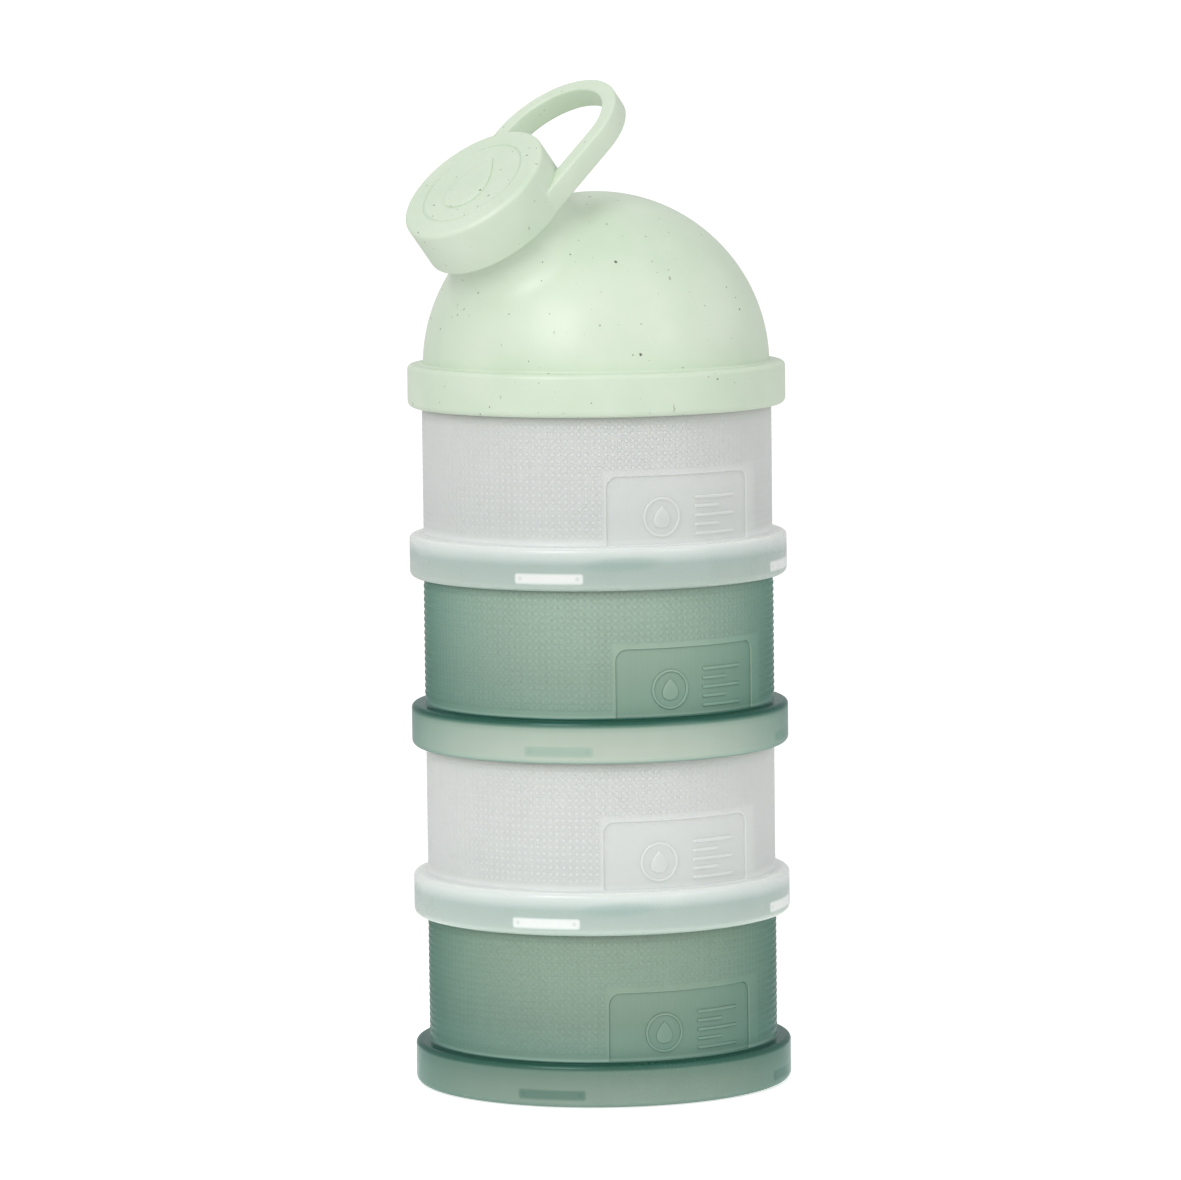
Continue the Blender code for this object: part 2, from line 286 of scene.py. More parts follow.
class Finish:
    # A material that is put together node by node.
    def __init__(self, name):
        self.material = bpy.data.materials.new(name)
        self.material.use_nodes = True
        self.tree = self.material.node_tree
        self.tree.nodes.clear()

    def node(self, kind, settings, inputs, output=0):
        made = self.tree.nodes.new(kind)
        for key, value in settings.items():
            if key == "stops":
                while len(made.color_ramp.elements) < len(value):
                    made.color_ramp.elements.new(1)
                for element, (position, colour) in zip(made.color_ramp.elements, value):
                    element.position = position
                    element.color = colour
            else:
                setattr(made, key, value)
        for key, value in inputs.items():
            if isinstance(value, Wire):
                self.tree.links.new(value.socket, made.inputs[key])
            else:
                made.inputs[key].default_value = value
        return Wire(self, made.outputs[output])

    def mixed(self, factor, first, second):
        return self.node("ShaderNodeMix", {"data_type": "RGBA"}, {0: factor, 6: first, 7: second}, 2)

    def shaded(self, colour, amount):
        # Colour times a value.
        settings = {"data_type": "RGBA", "blend_type": "MULTIPLY"}
        grey = self.node("ShaderNodeCombineColor", {}, {0: amount, 1: amount, 2: amount})
        return self.node("ShaderNodeMix", settings, {0: 1.0, 6: colour, 7: grey}, 2)

    def ramp(self, value, stops):
        return self.node("ShaderNodeValToRGB", {"stops": stops}, {"Fac": value})

    def smooth(self, value, low, high):
        # 0 below low, 1 above high, or the other way round when low is the larger.
        settings = {"interpolation_type": "SMOOTHSTEP"}
        if low < high:
            return self.node("ShaderNodeMapRange", settings,
                             {"Value": value, "From Min": low, "From Max": high})
        return self.node("ShaderNodeMapRange", settings,
                         {"Value": value, "From Min": high, "From Max": low, "To Min": 1.0,
                          "To Max": 0.0})

    def noise(self, where, scale, detail=2.0, output="Fac"):
        return self.node("ShaderNodeTexNoise", {},
                         {"Vector": where, "Scale": scale, "Detail": detail}, output)

    def objectPoint(self, centre=(0, 0, 0), turn=(0, 0, 0), stretch=(1, 1, 1)):
        point = self.node("ShaderNodeTexCoord", {}, {}, "Object")
        moved = self.node("ShaderNodeVectorMath", {"operation": "SUBTRACT"},
                          {0: point, 1: tuple(centre)})
        return self.node("ShaderNodeMapping", {},
                         {"Vector": moved, "Rotation": turn, "Scale": stretch})

    def bump(self, height, distance, strength, under=None):
        inputs = {"Height": height, "Distance": distance, "Strength": strength}
        if under:
            inputs["Normal"] = under
        return self.node("ShaderNodeBump", {}, inputs)

    def close(self, sockets):
        shader = self.node("ShaderNodeBsdfPrincipled", {}, sockets)
        ending = self.tree.nodes.new("ShaderNodeOutputMaterial")
        self.tree.links.new(shader.socket, ending.inputs["Surface"])
        return self.material


wrapHeight = 50 * mm      # the wrap map's height runs from 0 to 1 over this much

# Where frosted plastic changes: fades over two radii or heights, and what shows through the skirt.
frostSizes = {
    "outside": (36.55 * mm, 36.75 * mm), "skirt": (38.6 * mm, 39.6 * mm),
    "wallFoot": (9.2 * mm, 10.4 * mm), "lugCorner": 0.55 * mm, "barFade": (0.28 * mm, -0.22 * mm),
    "coreFade": (-0.05 * mm, -0.5 * mm), "markInset": 1.15 * mm, "markFade": (0.62 * mm, 0.3 * mm),
    "markStrength": 0.55, "ribTurn": 22, "ribHalfTurn": 15, "ribUp": 5.0, "ribClimb": 9,
    "ribHalfHeight": 1.9,
}


def frostedPlastic(name, look):
    # Frosted polypropylene. What lies behind the thin skirt tints it: the neck, the lugs.
    finish = Finish(name)
    wrap = finish.node("ShaderNodeUVMap", {"uv_map": "wrap"}, {})
    turns = finish.node("ShaderNodeSeparateXYZ", {}, {"Vector": wrap})
    height = Wire(finish, turns.socket.node.outputs["Y"])
    point = finish.objectPoint(stackAxis)
    flat = finish.node("ShaderNodeVectorMath", {"operation": "MULTIPLY"}, {0: point, 1: (1, 1, 0)})
    radius = finish.node("ShaderNodeVectorMath", {"operation": "LENGTH"}, {0: flat}, "Value")
    size = frostSizes
    outside = finish.smooth(radius, *size["outside"])
    onSkirt = finish.smooth(radius, *size["skirt"])

    # Colour by height from the look's list: the plastic's own tones, plus painted shade and a painted
    # highlight at the ledge.
    stops = [(level * mm / wrapHeight, tone(*colour)) for level, colour in look["wall"]]
    wall = finish.ramp(height, stops)
    cloud = finish.noise(point, 38, 3.0)
    flow = finish.noise(finish.objectPoint(stackAxis, (0, 0, 0.3), (1, 1, 0.16)), 160, 2.0)
    uneven = (cloud - 0.5) * look["cloud"] + (flow - 0.5) * look["cloud"]
    wall = finish.shaded(wall, uneven + look["shade"])
    plain = tone(*look["inside"])
    colour = finish.mixed(outside, plain, wall)

    # Lugs show through the skirt as flat bars with a gate mark near each end.
    lug = look["lug"]
    near = finish.node("ShaderNodeMath", {"operation": "WRAP"},
                       {0: turns - ringSizes["lugAngle"] / 360, 1: 0.125, 2: -0.125})
    across = abs(near) * (2 * math.pi * ringSizes["radius"])
    upward = height * wrapHeight - (ringSizes["lugFromFoot"] + ringSizes["lugHeight"] / 2)
    halfLug = math.radians(ringSizes["lugSpan"] / 2) * ringSizes["radius"]
    corner = size["lugCorner"]
    beyondSide = (across - (halfLug - corner)).atLeastZero()
    beyondTop = (abs(upward) - (ringSizes["lugHeight"] / 2 - corner)).atLeastZero()
    away = (beyondSide * beyondSide + beyondTop * beyondTop) ** 0.5
    bar = finish.smooth(away, *(corner + edge for edge in size["barFade"]))
    core = finish.smooth(away, *(corner + edge for edge in size["coreFade"]))
    colour = finish.mixed(bar * onSkirt * lug["strength"], colour, tone(*lug["rim"]))
    colour = finish.mixed(core * onSkirt * lug["strength"], colour, tone(*lug["core"]))
    markSide = abs(across - (halfLug - size["markInset"]))
    mark = (markSide * markSide + upward * upward) ** 0.5
    markShape = finish.smooth(mark, *size["markFade"])
    markStrength = lug["strength"] * size["markStrength"]
    colour = finish.mixed(markShape * onSkirt * markStrength, colour, tone(*lug["mark"]))

    # A thread rib behind the skirt, just above and right of each lug.
    ribSide = (near * 360 - size["ribTurn"]) / size["ribHalfTurn"]
    ribUp = (height * wrapHeight / mm - size["ribUp"] - near * size["ribClimb"]) / size["ribHalfHeight"]
    smear = finish.smooth(ribSide * ribSide + ribUp * ribUp, 1.0, 0.0)
    colour = finish.mixed(smear * onSkirt * look["rib"][0], colour, tone(*look["rib"][1]))

    grain = finish.noise(point, 5200, 2.0)
    wave = finish.noise(point, 210, 2.0)
    bumped = finish.bump(wave, 0.35 * mm, 0.12)
    bumped = finish.bump(grain, 0.05 * mm, 0.35, bumped)
    onWall = finish.smooth(height, *(level / wrapHeight for level in size["wallFoot"]))
    rough = look["roughness"] + (cloud - 0.5) * 0.16 + (grain - 0.5) * 0.1 + (onWall - 1) * 0.2
    return finish.close({
        "Base Color": colour, "Roughness": rough, "Normal": bumped, "IOR": 1.49,
        "Subsurface Weight": look["depth"], "Subsurface Radius": (1.0, 1.0, 0.9),
        "Subsurface Scale": look["scatter"], "Coat Weight": look["skin"] * (0.87 + onWall * 0.13),
        "Coat Roughness": 0.2, "Coat IOR": look["skinIor"], "Coat Tint": look["skinTint"]})


def speckledPlastic(name, look, centre):
    # Pale green plastic filled with ground plant fibre: dots, faint dust and short threads.
    finish = Finish(name)
    point = finish.objectPoint(centre)
    wobble = finish.noise(point, 1400, 2.0, "Color")
    bent = finish.node("ShaderNodeVectorMath", {"operation": "MULTIPLY_ADD"},
                       {0: wobble, 1: (0.0009, 0.0009, 0.0009), 2: point})
    cloud = finish.noise(point, 55, 3.0)
    colour = finish.ramp(cloud, [(0.3, tone(*look["dark"])), (0.7, tone(*look["light"]))])
    grain = finish.noise(point, 4200, 2.0)
    for speck in look["specks"]:
        place = bent
        if "turn" in speck:
            turnedPoint = finish.node("ShaderNodeMapping", {},
                                      {"Vector": bent, "Rotation": speck["turn"],
                                       "Scale": (1, 1, 0.16)})
            place = turnedPoint
        cells = {"Vector": place, "Scale": 1 / speck["spacing"], "Randomness": 1.0}
        distance = finish.node("ShaderNodeTexVoronoi", {}, cells, "Distance")
        chosen = finish.node("ShaderNodeTexVoronoi", {}, cells, "Color")
        chance = finish.node("ShaderNodeSeparateColor", {}, {"Color": chosen})
        picked = finish.smooth(chance, speck["share"], speck["share"] * 0.9)
        sizes = Wire(finish, chance.socket.node.outputs[1])
        reach = speck["radius"] / speck["spacing"] * (0.45 + sizes * 0.75)
        dot = finish.smooth(distance / reach, 1.0, 0.6)
        colour = finish.mixed(dot * picked * speck["strength"], colour, tone(*speck["colour"]))
    wave = finish.noise(point, 180, 2.0)
    bumped = finish.bump(wave, 0.4 * mm, 0.1)
    bumped = finish.bump(grain, 0.05 * mm, 0.3, bumped)
    rough = look["roughness"] + (cloud - 0.5) * 0.14 + (grain - 0.5) * 0.08
    return finish.close({
        "Base Color": colour, "Roughness": rough, "Normal": bumped, "IOR": 1.49,
        "Specular IOR Level": 0.55, "Subsurface Weight": 0.2, "Subsurface Radius": (1.0, 1.0, 0.8),
        "Subsurface Scale": 1.5 * mm})


def clearSilicone(name, centre):
    finish = Finish(name)
    point = finish.objectPoint(centre)
    cloud = finish.noise(point, 90, 3.0)
    dust = finish.noise(point, 2600, 2.0)
    colour = finish.ramp(cloud, [(0.3, tone(212, 218, 214)), (0.7, tone(226, 231, 228))])
    bumped = finish.bump(dust, 0.04 * mm, 0.3)
    return finish.close({
        "Base Color": colour, "Roughness": 0.34 + dust * 0.2, "Normal": bumped, "IOR": 1.41,
        "Subsurface Weight": 0.35, "Subsurface Radius": (1.0, 1.0, 0.95),
        "Subsurface Scale": 2 * mm})


ringSizes = {
    "radius": 40 * mm, "height": 9 * mm, "skirtInner": 38 * mm, "floorUnder": 7.2 * mm,
    "topRounding": 1 * mm, "footRounding": 1.4 * mm, "plugOuter": 34.4 * mm,
    "plugInner": 33.2 * mm, "plugReach": 2.2 * mm, "edge": 0.25 * mm, "ledgeFillet": 0.45 * mm,
    "threadStarts": 4, "threadLead": 21.6 * mm, "lugAngle": 33, "lugSpan": 21,
    "lugHeight": 2.1 * mm, "lugFromFoot": 1.6 * mm, "lugInner": 36.6 * mm,
}
containerSizes = {
    "pitch": 36 * mm, "bodyRadius": 37 * mm, "cavityRadius": 34.7 * mm, "cavityRounding": 2 * mm,
    "neckRadius": 36.2 * mm, "neckTop": 5.6 * mm, "shoulder": 0.6 * mm, "rimRounding": 0.35 * mm,
    "ribOuter": 37.5 * mm, "ribHeight": 1 * mm, "ribTail": 21, "ribPlay": 0.35 * mm,
    "segments": 240,
}
panelSizes = {
    "angle": 78, "width": 35 * mm, "top": 23.6 * mm, "depth": 0.3 * mm, "corner": 2.5 * mm,
    "emblemAcross": -5.6 * mm, "emblemUp": 14.9 * mm, "emblemRadius": 3.9 * mm,
    "line": 0.55 * mm, "raised": 0.25 * mm, "levelAcross": 2.2 * mm, "levelUp": 11.1 * mm,
    "levelPitch": 1.9 * mm, "levels": (11 * mm, 6.5 * mm, 11 * mm, 6.5 * mm, 11 * mm),
}


def ringProfile():
    # From the ledge's foot fillet, over the ledge and down the skirt to the plug's inside.
    ring = ringSizes
    bodyRadius = containerSizes["bodyRadius"]
    top = ring["height"]
    profile = arc(bodyRadius + ring["ledgeFillet"], top + ring["ledgeFillet"],
                  ring["ledgeFillet"], 180, 270, 5)
    profile += arc(ring["radius"] - ring["topRounding"], top - ring["topRounding"],
                   ring["topRounding"], 90, 0, 8)
    profile += arc(ring["radius"] - ring["footRounding"], ring["footRounding"],
                   ring["footRounding"], 0, -90, 9)
    profile += arc(ring["skirtInner"] + ring["edge"], ring["edge"], ring["edge"], 270, 180, 3)
    profile += [(ring["skirtInner"], ring["floorUnder"]), (ring["plugOuter"], ring["floorUnder"])]
    plugFoot = ring["floorUnder"] - ring["plugReach"]
    profile += arc(ring["plugOuter"] - ring["edge"], plugFoot + ring["edge"], ring["edge"],
                   0, -90, 3)
    profile += arc(ring["plugInner"] + ring["edge"], plugFoot + ring["edge"], ring["edge"],
                   270, 180, 3)
    return profile


def addLugs(shape):
    ring = ringSizes
    for start in range(ring["threadStarts"]):
        angle = ring["lugAngle"] - ring["lugSpan"] / 2 + 360 / ring["threadStarts"] * start
        bentBar(shape, ring["lugInner"], ring["skirtInner"] + 0.6 * mm, ring["lugFromFoot"],
                ring["lugHeight"], angle, ring["lugSpan"], 0)


def addNeckRibs(shape):
    # Each rib climbs over the near end of a seated lug and runs out at the neck's rim.
    ring, cup = ringSizes, containerSizes
    climb = ring["threadLead"] / 360
    overLug = ring["lugFromFoot"] + ring["lugHeight"] + cup["ribPlay"]
    span = cup["ribTail"] + (cup["neckTop"] - cup["ribHeight"] - overLug) / climb
    foot = cup["pitch"] + overLug - climb * cup["ribTail"]
    for start in range(ring["threadStarts"]):
        angle = ring["lugAngle"] - ring["lugSpan"] / 2 - cup["ribTail"]
        bentBar(shape, cup["neckRadius"] - 0.6 * mm, cup["ribOuter"], foot, cup["ribHeight"],
                angle + 360 / ring["threadStarts"] * start, span, climb * span)


def panelTop(across):
    # Height of the panel's upper edge, with its round corners.
    panel = panelSizes
    past = abs(across) - (panel["width"] / 2 - panel["corner"])
    if past <= 0:
        return panel["top"]
    return panel["top"] - panel["corner"] + math.sqrt(max(0, panel["corner"] ** 2 - past ** 2))


def onPanel(across, up, out):
    # A place on the panel's floor.
    panel = panelSizes
    radius = containerSizes["bodyRadius"] - panel["depth"] + out
    return around(radius, panel["angle"] + math.degrees(across / containerSizes["bodyRadius"]), up)


def panelCutter():
    # The sunk label panel, with slightly slanted sides.
    panel = panelSizes
    half = panel["width"] / 2
    places = [-half + panel["corner"] * (1 - math.cos(math.radians(9 * step)))
              for step in range(11)]
    places += [-half + panel["corner"] + (panel["width"] - 2 * panel["corner"]) * step / 24
               for step in range(1, 24)]
    places += [-place for place in places[10::-1]]
    bottom = ringSizes["height"] + 0.3 * mm
    slant = 0.09 * mm
    loops = []
    for across in places:
        top = panelTop(across)
        wide = across * (1 + slant / half)
        loops.append([onPanel(across, bottom, 0), onPanel(across, top - slant, 0),
                      onPanel(wide, top + slant, 2 * panel["depth"]),
                      onPanel(wide, bottom, 2 * panel["depth"])])
    shape = bmesh.new()
    loft(shape, loops, False)
    return outward(shape)


def addPanelRelief(shape):
    # A milk drop in a ring, beside a ladder of plain level marks.
    panel = panelSizes
    centre = (panel["emblemAcross"], panel["emblemUp"])
    reliefStroke(shape, circlePath(*centre, panel["emblemRadius"], 44), panel["line"],
                 panel["raised"], True, onPanel)
    drop = dropPath(*centre, panel["emblemRadius"] * 0.95, panel["emblemRadius"] * 1.2, 32)
    reliefPad(shape, drop, centre, panel["raised"], onPanel)
    for step, length in enumerate(panel["levels"]):
        up = panel["levelUp"] + panel["levelPitch"] * step
        line = [(panel["levelAcross"] + share * length, up)
                for share in (0, 0.02, 0.15, 0.3, 0.5, 0.7, 0.85, 0.98, 1)]
        reliefStroke(shape, line, 0.7 * mm, panel["raised"], False, onPanel)


def containerShape():
    # Cup with a floor, its ring, a ribbed neck and the label panel. The base is at zero.
    ring, cup = ringSizes, containerSizes
    top = cup["pitch"] + cup["neckTop"]
    shoulder = cup["pitch"] + cup["shoulder"]
    rim = cup["rimRounding"]
    profile = [(0, ring["height"])]
    profile += arc(cup["cavityRadius"] - cup["cavityRounding"],
                   ring["height"] + cup["cavityRounding"], cup["cavityRounding"], -90, 0, 6)
    profile += arc(cup["cavityRadius"] + rim, top - rim, rim, 180, 90, 4)
    profile += arc(cup["neckRadius"] - rim, top - rim, rim, 90, 0, 4)
    profile += [(cup["neckRadius"], shoulder), (cup["bodyRadius"] - 0.25 * mm, shoulder),
                (cup["bodyRadius"], shoulder - 0.3 * mm)]
    profile += ringProfile()
    profile += [(ring["plugInner"], ring["floorUnder"]), (0, ring["floorUnder"])]
    shape = bmesh.new()
    turned(shape, profile, cup["segments"])
    shape = combined(outward(shape), panelCutter(), "DIFFERENCE")
    raised = bmesh.new()
    addLugs(raised)
    addNeckRibs(raised)
    addPanelRelief(raised)
    return combined(shape, outward(raised), "UNION")


# Squared grip: small soft pads in rows and columns, left off the label panel.
gripSizes = {
    "Radius": 36.93 * mm, "Columns": 166, "Rows": 18, "Foot": 11.3 * mm, "Height": 24.0 * mm,
    "Pad": 0.86 * mm, "Panel Angle": math.radians(79.6), "Panel Half": math.radians(30.1),
    "Panel Top": 24.3 * mm,
}


def gripTree(material):
    # Grid of points wrapped round the wall, without those on the panel, a pad on each.
    tree = bpy.data.node_groups.new("squared_grip", "GeometryNodeTree")
    integers = ("Columns", "Rows")
    for name in (*gripSizes, "Raised"):
        kind = "NodeSocketInt" if name in integers else "NodeSocketFloat"
        tree.interface.new_socket(name, in_out="INPUT", socket_type=kind)
    tree.interface.new_socket("Geometry", in_out="OUTPUT", socket_type="NodeSocketGeometry")
    given = tree.nodes.new("NodeGroupInput")
    nodes, links = tree.nodes, tree.links

    def add(kind, inputs, **settings):
        made = nodes.new(kind)
        for key, value in settings.items():
            setattr(made, key, value)
        for key, value in inputs.items():
            if isinstance(value, bpy.types.NodeSocket):
                links.new(value, made.inputs[key])
            else:
                made.inputs[key].default_value = value
        return made

    def maths(operation, first, second=0.0):
        return add("ShaderNodeMath", {0: first, 1: second}, operation=operation).outputs[0]

    columns = given.outputs["Columns"]
    width = maths("DIVIDE", maths("MULTIPLY", maths("SUBTRACT", columns, 1.0), 2 * math.pi), columns)
    grid = add("GeometryNodeMeshGrid", {"Size X": width, "Size Y": given.outputs["Height"],
                                        "Vertices X": columns, "Vertices Y": given.outputs["Rows"]})
    position = add("GeometryNodeInputPosition", {}).outputs[0]
    flat = add("ShaderNodeSeparateXYZ", {0: position})
    angle = flat.outputs["X"]
    up = maths("ADD", maths("ADD", flat.outputs["Y"], maths("MULTIPLY", given.outputs["Height"], 0.5)),
               given.outputs["Foot"])
    fromPanel = maths("WRAP", maths("SUBTRACT", angle, given.outputs["Panel Angle"]), math.pi)
    fromPanel.node.inputs[2].default_value = -math.pi
    beside = maths("LESS_THAN", maths("ABSOLUTE", fromPanel), given.outputs["Panel Half"])
    below = maths("LESS_THAN", up, given.outputs["Panel Top"])
    onLabel = maths("MULTIPLY", beside, below)
    kept = add("GeometryNodeDeleteGeometry", {"Geometry": grid.outputs["Mesh"], "Selection": onLabel},
               domain="POINT")
    radius = given.outputs["Radius"]
    wrapped = add("ShaderNodeCombineXYZ", {
        "X": maths("MULTIPLY", radius, maths("SINE", angle)),
        "Y": maths("MULTIPLY", radius, maths("MULTIPLY", maths("COSINE", angle), -1.0)), "Z": up})
    facing = add("ShaderNodeCombineXYZ", {"Z": angle})
    stored = add("GeometryNodeStoreNamedAttribute",
                 {"Geometry": kept.outputs[0], "Name": "facing", "Value": facing.outputs[0]},
                 data_type="FLOAT_VECTOR", domain="POINT")
    placed = add("GeometryNodeSetPosition", {"Geometry": stored.outputs[0],
                                             "Position": wrapped.outputs[0]})
    pad = add("GeometryNodeMeshCone", {"Vertices": 4, "Side Segments": 1,
                                       "Radius Top": maths("MULTIPLY", given.outputs["Pad"], 0.34),
                                       "Radius Bottom": given.outputs["Pad"],
                                       "Depth": given.outputs["Raised"]})
    squared = add("GeometryNodeTransform", {"Geometry": pad.outputs["Mesh"],
                                            "Rotation": (0, 0, math.pi / 4)})
    upright = add("GeometryNodeTransform", {"Geometry": squared.outputs[0],
                                            "Rotation": (math.pi / 2, 0, 0)})
    turn = add("GeometryNodeInputNamedAttribute", {"Name": "facing"}, data_type="FLOAT_VECTOR")
    pads = add("GeometryNodeInstanceOnPoints", {"Points": placed.outputs[0],
                                                "Instance": upright.outputs[0],
                                                "Rotation": turn.outputs["Attribute"]})
    real = add("GeometryNodeRealizeInstances", {"Geometry": pads.outputs[0]})
    soft = add("GeometryNodeSetShadeSmooth", {"Geometry": real.outputs[0], "Shade Smooth": True})
    painted = add("GeometryNodeSetMaterial", {"Geometry": soft.outputs[0], "Material": material})
    ending = nodes.new("NodeGroupOutput")
    links.new(painted.outputs[0], ending.inputs[0])
    return tree


def gripPads(name, material, raised, lean, place):
    # The grip of one container as a plain mesh.
    holder = bpy.data.objects.new(name + "_holder", bpy.data.meshes.new(name + "_holder"))
    bpy.context.scene.collection.objects.link(holder)
    tree = gripTree(material)
    modifier = holder.modifiers.new("grip", "NODES")
    modifier.node_group = tree
    values = {**gripSizes, "Raised": raised}
    for item in tree.interface.items_tree:
        if item.item_type == "SOCKET" and item.in_out == "INPUT":
            modifier[item.identifier] = values[item.name]
    mesh = finishedMesh(holder)
    bpy.data.objects.remove(holder)
    mesh.name = name
    # Cloudy plastic evens out the shading of small pads, so their normals lean to the wall's.
    leaning = []
    for vert in mesh.vertices:
        wall = Vector((vert.co.x, vert.co.y, 0)).normalized()
        leaning.append(vert.normal.lerp(wall, lean).normalized())
    mesh.normals_split_custom_set_from_vertices(leaning)
    mesh.transform(place)
    if "facing" in mesh.attributes:
        mesh.attributes.remove(mesh.attributes["facing"])
    item = bpy.data.objects.new(name, mesh)
    bpy.context.scene.collection.objects.link(item)
    return item


# Colours up the wall by height in mm. The low stops are the green neck showing through the skirt. The
# light stops at 9.1 to 9.5 are a painted highlight along the fillet over the ledge, which also lifts
# the shade in that corner. The last stop is a little painted shade under the ring above.
whiteWallWithPaintedShadeAndHighlight = [
    (0.0, (188, 203, 193)), (1.2, (186, 200, 192)), (4.0, (181, 196, 190)), (5.4, (179, 195, 189)),
    (6.8, (205, 215, 211)), (7.8, (216, 223, 220)), (8.6, (216, 222, 219)), (9.1, (232, 236, 233)),
    (9.5, (232, 236, 234)), (10.5, (218, 222, 219)), (14.0, (214, 218, 215)),
    (24.0, (218, 221, 218)), (33.0, (219, 222, 218)), (37.0, (214, 218, 211)),
]
# Colours up the wall by height in mm. The dark stops from 8.05 to 9.14 are a painted band of shade
# along the ledge. The light stops at 9.3 and 9.6 are a painted highlight along the fillet above it.
greenWallWithPaintedShadeAndHighlight = [
    (0.0, (180, 185, 172)), (1.0, (182, 188, 175)), (4.0, (174, 181, 167)), (6.6, (158, 170, 156)),
    (7.6, (150, 168, 152)), (8.05, (84, 124, 108)), (8.5, (76, 120, 104)), (8.9, (66, 114, 98)),
    (9.02, (44, 104, 88)), (9.14, (52, 110, 94)), (9.3, (217, 235, 220)), (9.6, (213, 228, 214)),
    (10.0, (180, 196, 180)), (17.0, (188, 194, 178)), (26.0, (208, 211, 192)), (36.0, (217, 218, 197)),
]
whiteFrost = {
    "slot": "frosted_white", "lean": 0.9, "raised": 0.09 * mm, "wall": whiteWallWithPaintedShadeAndHighlight,
    "inside": (214, 218, 214), "scatter": 2.2 * mm, "cloud": 0.035, "roughness": 0.48, "depth": 1.0,
    "shade": 1.0, "padShade": 0.99, "skin": 0.2, "skinIor": 1.5, "skinTint": (1, 1, 1, 1),
}
greenFrost = {
    "slot": "frosted_green", "lean": 0.78, "scatter": 1.0 * mm, "cloud": 0.06, "roughness": 0.44,
    "depth": 1.0, "skin": 1.0, "skinIor": 1.06, "skinTint": (0.52, 0.68, 0.66, 1),
}
containerLooks = {
    "container_1": {
        **whiteFrost, "seat": 0.9,
        "lug": {"strength": 0.95, "rim": (228, 235, 231), "core": (238, 240, 237),
                "mark": (205, 214, 209)},
        "rib": (0.4, (150, 180, 170)),
    },
    "container_2": {
        **greenFrost, "seat": 3.3, "raised": 0.2 * mm,
        # Stops from 8.3 to 9.2 are a painted band of shade along the ledge, and 9.5 is a painted
        # highlight along the fillet above it.
        "wall": [(0.0, (248, 242, 229)), (3.0, (246, 239, 227)), (6.4, (234, 231, 218)),
                 (7.4, (215, 218, 203)), (7.8, (150, 176, 160)), (8.3, (70, 118, 102)),
                 (8.95, (60, 112, 96)), (9.05, (54, 112, 96)), (9.2, (76, 128, 112)),
                 (9.5, (221, 235, 220)), (10.0, (204, 216, 198)), (17.0, (211, 215, 198)),
                 (26.0, (229, 230, 212)), (36.0, (242, 241, 222))],
        "inside": (130, 158, 142), "shade": 0.93, "padShade": 0.84,
        "lug": {"strength": 0.5, "rim": (205, 215, 201), "core": (210, 219, 205),
                "mark": (190, 204, 190)},
        "rib": (0.0, (200, 210, 202)),
    },
    "container_3": {
        **whiteFrost, "seat": -1.2,
        "lug": {"strength": 0.95, "rim": (226, 234, 231), "core": (236, 239, 236),
                "mark": (205, 214, 209)},
        "rib": (0.35, (150, 182, 172)),
    },
    "container_4": {
        **greenFrost, "seat": 0.0, "raised": 0.17 * mm, "wall": greenWallWithPaintedShadeAndHighlight,
        "inside": (122, 150, 135), "shade": 0.84, "padShade": 0.75,
        "lug": {"strength": 0.5, "rim": (106, 132, 119), "core": (112, 138, 125),
                "mark": (100, 126, 113)},
        "rib": (0.0, (120, 150, 136)),
    },
}

moulding = containerShape()
mouldingMesh = bpy.data.meshes.new("container_moulding")
moulding.to_mesh(mouldingMesh)
moulding.free()
for name, look in containerLooks.items():
    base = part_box(name)[0].z
    place = Matrix.Translation(stackAxis + Vector((0, 0, base)))
    place = place @ Matrix.Rotation(math.radians(look["seat"]), 4, "Z")
    plastic = frostedPlastic(f"{look['slot']}_{name[-1]}", look)
    body = "base" if name == "container_4" else name
    shape = bmesh.new()
    shape.from_mesh(mouldingMesh)
    cup = mouldedPiece(f"{name}_cup", shape, place, plastic, body)
    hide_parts(name)
    wrapMap(cup.data, look["seat"], base)
    padLook = {**look, "depth": 0.0, "shade": look["padShade"]}
    padPlastic = frostedPlastic(f"{look['slot']}_grip_{name[-1]}", padLook)
    grip = gripPads(f"{name}_grip", padPlastic, look["raised"], look["lean"], place)
    wrapMap(grip.data, look["seat"], base)
    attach(grip, body)
    print("container", name, len(cup.data.polygons), "faces, grip", len(grip.data.polygons))


sealSizes = {
    "inner": 34.7 * mm, "outer": 37.7 * mm, "bottom": 5.9 * mm, "thickness": 1 * mm,
    "rounding": 0.3 * mm, "discRadius": 13.3 * mm, "discBottom": 49.0 * mm, "lip": 0.15 * mm,
}


def ringSealShape():
    size = sealSizes
    middle = (size["inner"] + size["outer"]) / 2
    section = roundedSection(size["outer"] - size["inner"], size["thickness"], size["rounding"], 4)
    profile = [(middle + x, size["bottom"] + size["thickness"] / 2 + z) for x, z in section]
    shape = bmesh.new()
    turned(shape, profile, 160)
    return shape


def capSealShape():
    # Disc with a shallow well, so that its edge closes on the spout's rim.
    size = sealSizes
    low, high = size["discBottom"], size["discBottom"] + size["thickness"]
    outer = size["discRadius"]
    profile = [(0, high)] + arc(outer - size["rounding"], high - size["rounding"],
                                size["rounding"], 90, 0, 4)
    profile += arc(outer - size["rounding"], low + size["rounding"], size["rounding"], 0, -90, 4)
    profile += [(outer - 3 * mm, low), (outer - 3.2 * mm, low + size["lip"]), (0, low + size["lip"])]
    shape = bmesh.new()
    turned(shape, profile, 128)
    return shape


